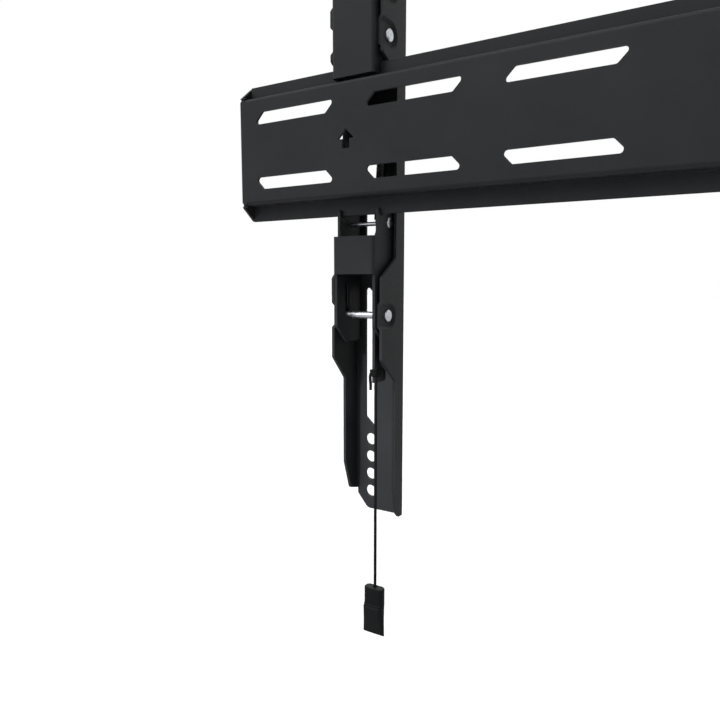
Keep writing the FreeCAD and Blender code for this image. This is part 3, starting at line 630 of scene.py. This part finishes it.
class MOUNT_OT_sheet_steel(bpy.types.Operator):
    """Powder coat the wall plate, the channels and the folded pieces in them"""
    bl_idname = "mount.sheet_steel"
    bl_label = "Sheet Steel Finish"

    def execute(self, context):
        material = material_of("satin_powder_coat", powder_coat, context.scene.mount_sheet)
        nodes = ["wall_plate"]
        for side in SIDES:
            nodes += [side + "_" + name for name in
                      ("bracket_channel", "hook_plate", "latch_plate", "release_arm")]
        dress_nodes(nodes, material)
        return {'FINISHED'}


class MOUNT_OT_pull_tabs(bpy.types.Operator):
    """Mould each pull tab: an oval grip with a stepped thumb pad that thins to a blade"""
    bl_idname = "mount.pull_tabs"
    bl_label = "Pull Tabs"

    def execute(self, context):
        settings = context.scene.mount_tabs
        material = material_of("moulded_polypropylene", moulded_plastic, settings)
        for side in SIDES:
            axis = middle_of(side + "_pull_cord")
            top = Vector((axis.x, axis.y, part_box(side + "_pull_tab")[1][2] - TAB_DROP))
            tab = self.mould(top, settings)
            finish_piece(tab, side + "_tab", material)
            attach(tab, side + "_latch")
            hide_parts(side + "_pull_tab")
        return {'FINISHED'}

    def mould(self, top, settings):
        """Extrude the top's rounded outline down through the levels and bore the cord's hole."""
        start_piece()
        first, *others = TAB_LEVELS
        centre = top + Vector((0, (first[2] + first[3]) / 2 * MM, 0))
        bpy.ops.mesh.primitive_plane_add(size=1, location=(0, 0, 0))
        tab = bpy.context.active_object
        bpy.ops.object.mode_set(mode='EDIT')
        bpy.ops.mesh.select_all(action='SELECT')
        bpy.ops.transform.resize(value=(2 * first[1] * MM, (first[3] - first[2]) * MM, 1))
        bpy.ops.transform.translate(value=centre)
        bpy.ops.mesh.bevel(offset=settings.corner, offset_pct=0, segments=6, profile=0.5,
                           affect='VERTICES')
        above = first
        for level in others:
            drop, half, back, front = [new - old for new, old in zip(level, above)]
            move = Vector((0, (back + front) / 2, -drop)) * MM
            bpy.ops.mesh.extrude_region_move(TRANSFORM_OT_translate={"value": move})
            centre += move
            depth_ratio = (level[3] - level[2]) / (above[3] - above[2])
            bpy.ops.transform.resize(value=(level[1] / above[1], depth_ratio, 1),
                                     center_override=centre)
            above = level
        bpy.ops.mesh.select_all(action='SELECT')
        bpy.ops.mesh.normals_make_consistent(inside=False)
        bpy.ops.object.mode_set(mode='OBJECT')
        start_piece()
        bpy.ops.mesh.primitive_cone_add(
            vertices=24, radius1=settings.hole / 3, radius2=settings.hole / 2,
            depth=BORE_DEPTH, location=top - Vector((0, 0, BORE_DROP)))
        bore = bpy.context.active_object
        cut = tab.modifiers.new("Hole", 'BOOLEAN')
        cut.operation = 'DIFFERENCE'
        cut.object = bore
        apply_modifiers(tab)
        bpy.data.objects.remove(bore)
        return tab


class MOUNT_OT_stage(bpy.types.Operator):
    """Set up the camera, the floor, the lamps and the white surround"""
    bl_idname = "mount.stage"
    bl_label = "Stage"

    def execute(self, context):
        settings = context.scene.mount_stage
        context.scene.view_settings.view_transform = 'Standard'
        self.add_camera(context, settings)
        self.add_floor(settings)
        self.add_lamps(context)
        self.add_world(context)
        return {'FINISHED'}

    def add_camera(self, context, settings):
        """Camera behind the wall plane, at the photograph's place."""
        data = bpy.data.cameras.new("camera")
        data.lens = settings.lens
        data.sensor_width = SENSOR_WIDTH
        camera = bpy.data.objects.new("camera", data)
        context.scene.collection.objects.link(camera)
        camera.location = CAMERA_PLACE
        camera.rotation_euler = Vector(CAMERA_FORWARD).to_track_quat('-Z', 'Y').to_euler()
        context.scene.camera = camera

    def add_floor(self, settings):
        """Wide pale floor that takes the shadow."""
        start_piece()
        bpy.ops.mesh.primitive_plane_add(size=FLOOR_SIZE, location=(0, 0, -settings.floor_drop))
        floor = bpy.context.active_object
        floor.name = "floor"
        material, tree, surface = new_material("floor_paper", Roughness=0.9, IOR=1.3)
        surface.inputs["Base Color"].default_value = settings.floor_colour
        seen = add_node(tree, "ShaderNodeLightPath")
        lift = add_node(tree, "ShaderNodeEmission", Color=(1, 1, 1, 1))
        gain = add_node(tree, "ShaderNodeMath", operation='MULTIPLY',
                        links=[(0, seen.outputs["Is Camera Ray"])])
        gain.inputs[1].default_value = settings.floor_lift
        tree.links.new(gain.outputs[0], lift.inputs["Strength"])
        total = add_node(tree, "ShaderNodeAddShader",
                         links=[(0, surface.outputs[0]), (1, lift.outputs[0])])
        output = next(node for node in tree.nodes if node.type == 'OUTPUT_MATERIAL')
        tree.links.new(total.outputs[0], output.inputs["Surface"])
        floor.data.materials.append(material)

    def add_lamps(self, context):
        """Three wide, soft suns: the key from over the camera, a low side light and a rim light.

        A small soft lamp for each bracket reaches down into the open end of its channel.
        """
        for name, toward, spread_angle, strength in SUNS:
            lamp = self.new_lamp(context, name, 'SUN')
            lamp.data.angle = math.radians(spread_angle)
            lamp.data.energy = strength
            lamp.rotation_euler = Vector(toward).to_track_quat('Z', 'Y').to_euler()
        for name, across in (("low_right", 1), ("low_left", -1)):
            lamp = self.new_lamp(context, name, 'SPOT')
            lamp.data.energy = SPOT_ENERGY
            lamp.data.shadow_soft_size = SPOT_SIZE
            lamp.data.spot_size = math.radians(SPOT_ANGLE)
            lamp.data.spot_blend = 1.0
            lamp.location = (across * SPOT_PLACE[0], *SPOT_PLACE[1:])
            aim = Vector((across * SPOT_AIM[0], *SPOT_AIM[1:])) - lamp.location
            lamp.rotation_euler = aim.to_track_quat('-Z', 'Y').to_euler()

    def new_lamp(self, context, name, kind):
        """Lamp of a kind, linked to the scene."""
        lamp = bpy.data.objects.new(name, bpy.data.lights.new(name, kind))
        context.scene.collection.objects.link(lamp)
        return lamp

    def add_world(self, context):
        """White surround for camera and reflections, softer for the light it gives."""
        world = bpy.data.worlds.new("surround")
        context.scene.world = world
        world.use_nodes = True
        tree = world.node_tree
        tree.nodes.clear()
        path = add_node(tree, "ShaderNodeLightPath")
        seen = add_node(tree, "ShaderNodeMath", operation='MAXIMUM',
                        links=[(0, path.outputs["Is Camera Ray"]), (1, path.outputs["Is Glossy Ray"])])
        seen = add_node(tree, "ShaderNodeMath", operation='MAXIMUM',
                        links=[(0, seen.outputs[0]), (1, path.outputs["Is Transmission Ray"])])
        level = add_node(tree, "ShaderNodeMapRange", links=[("Value", seen.outputs[0])])
        level.inputs["To Min"].default_value = SURROUND_LIGHT
        level.inputs["To Max"].default_value = 1.0
        background = add_node(tree, "ShaderNodeBackground", Color=(1, 1, 1, 1),
                              links=[("Strength", level.outputs["Result"])])
        add_node(tree, "ShaderNodeOutputWorld", links=[("Surface", background.outputs[0])])


OPERATORS = (MOUNT_OT_stage, MOUNT_OT_pull_tabs, MOUNT_OT_pull_cords, MOUNT_OT_return_springs,
             MOUNT_OT_riveted_pins, MOUNT_OT_sheet_steel)


class MOUNT_PT_panel(bpy.types.Panel):
    """Lists the mount's pieces and their settings"""
    bl_idname = "MOUNT_PT_panel"
    bl_label = "Screen Wall Mount"
    bl_space_type = 'VIEW_3D'
    bl_region_type = 'UI'
    bl_category = "Mount"

    def draw(self, context):
        for name, group in SETTINGS.items():
            box = self.layout.box()
            box.label(text=group.__doc__)
            for prop in group.__annotations__:
                box.prop(getattr(context.scene, name), prop)
        for operator in OPERATORS:
            self.layout.operator(operator.bl_idname)


def register():
    for group in SETTINGS.values():
        bpy.utils.register_class(group)
    for name, group in SETTINGS.items():
        setattr(bpy.types.Scene, name, PointerProperty(type=group))
    for operator in OPERATORS:
        bpy.utils.register_class(operator)
    bpy.utils.register_class(MOUNT_PT_panel)


def unregister():
    bpy.utils.unregister_class(MOUNT_PT_panel)
    for operator in reversed(OPERATORS):
        bpy.utils.unregister_class(operator)
    for name in SETTINGS:
        delattr(bpy.types.Scene, name)
    for group in reversed(list(SETTINGS.values())):
        bpy.utils.unregister_class(group)


def main():
    register()
    bpy.ops.mount.stage()
    bpy.ops.mount.pull_tabs()
    bpy.ops.mount.pull_cords()
    bpy.ops.mount.return_springs()
    bpy.ops.mount.riveted_pins()
    bpy.ops.mount.sheet_steel()


if __name__ == "__main__":
    main()
